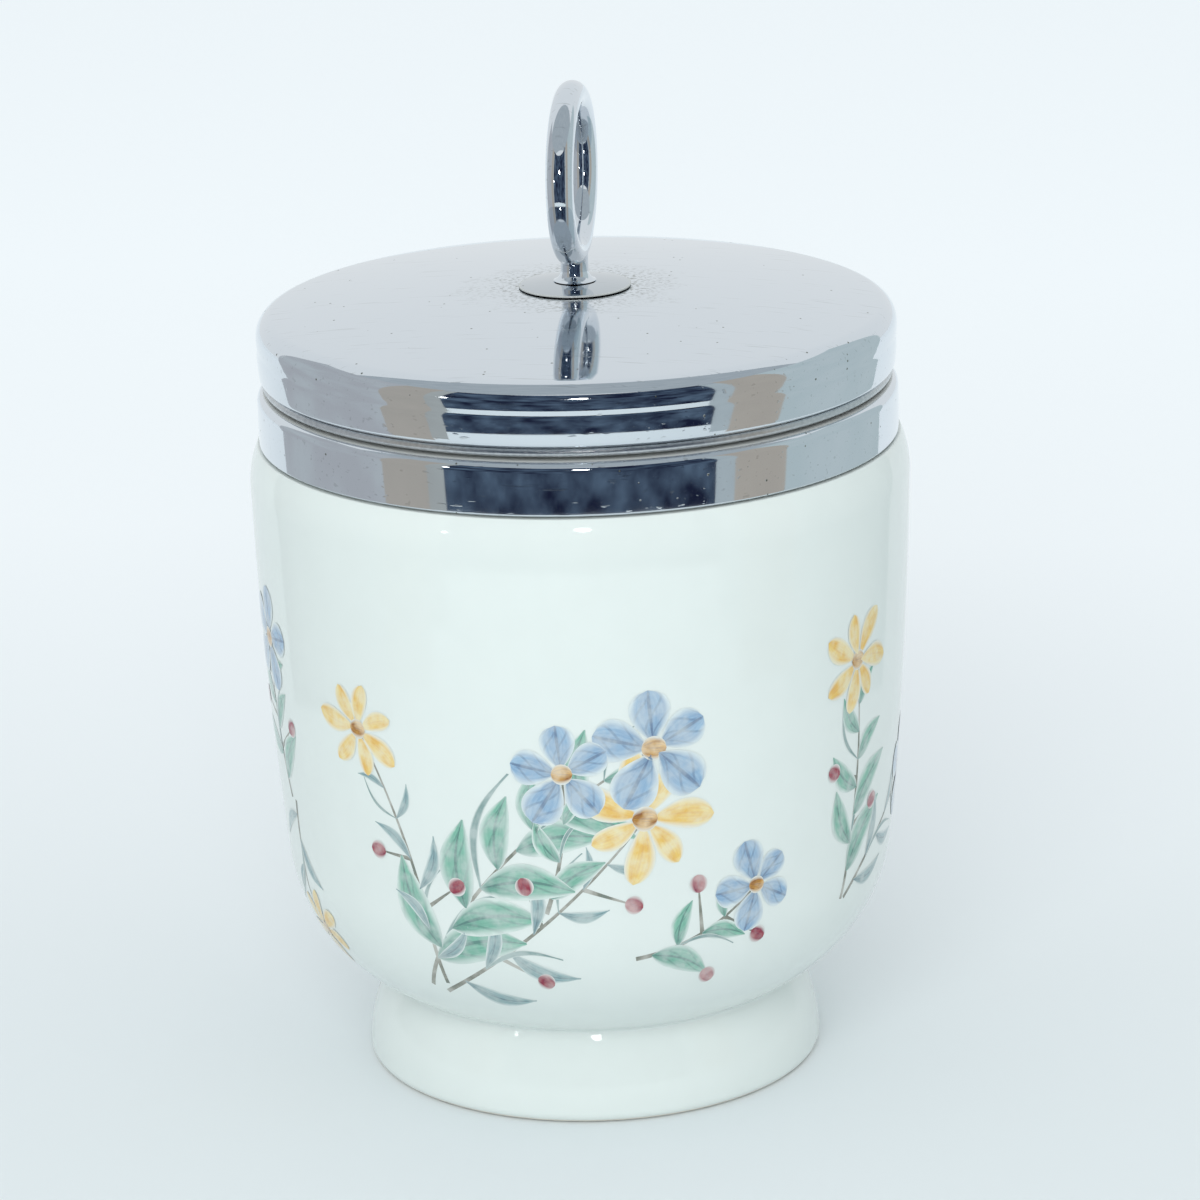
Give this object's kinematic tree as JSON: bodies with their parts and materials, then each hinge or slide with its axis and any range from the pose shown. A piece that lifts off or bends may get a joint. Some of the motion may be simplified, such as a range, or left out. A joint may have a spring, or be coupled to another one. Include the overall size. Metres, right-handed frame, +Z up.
{
  "type": "egg coddler",
  "caption": "Footed porcelain pot with a metal collar and a domed metal screw lid that carries an upright lifting ring.",
  "frame": {"origin": "centre of the foot's resting circle, at the level it stands on", "axes": "+Z up along the axis that every piece is turned about; the lifting ring stands in the YZ plane"},
  "size_m": [0.0575, 0.0574, 0.0875],
  "materials": {
    "porcelain": "white glazed porcelain with a printed spray of leaves, berries and flowers",
    "cement": "grey-white setting cement",
    "chrome_collar": "polished chrome plate, lightly pitted",
    "rubber_seal": "pale smooth rubber",
    "chrome_lid": "polished chrome plate with fine scratches and pits",
    "liner_metal": "plated sheet, satin inside and bright on its bead",
    "chrome_ring_washer": "chrome plate, pitted round its edge",
    "washer_steel": "plain plated steel",
    "chrome_ring": "polished chrome-plated wire"
  },
  "bodies": {
    "pot": {"porcelain_cup": "porcelain", "cement_bed": "cement", "collar": "chrome_collar"},
    "seal": {"sealing_washer": "rubber_seal"},
    "lid_carrier": {"back_washer": "washer_steel"},
    "lid": {"lid_cap": "chrome_lid", "lid_liner": "liner_metal", "ring_washer": "chrome_ring_washer", "lifting_ring": "chrome_ring"}
  },
  "joints": [
    {"name": "lid_lift_off", "type": "slide", "parent": "pot", "child": "seal", "axis": [0, 0, 1], "range_m": [0, 0.06]},
    {"name": "lid_rise", "type": "slide", "parent": "seal", "child": "lid_carrier", "axis": [0, 0, 1], "range_m": [0, 0.00313]},
    {"name": "lid_turn", "type": "hinge", "parent": "lid_carrier", "child": "lid", "pos_m": [0, 0, 0.0655], "axis": [0, 0, 1], "range_deg": [0, 450]}
  ],
  "couplings": [
    {"joint": "lid_rise", "follows": "lid_turn", "m_per_rad": 0.00039789}
  ]
}
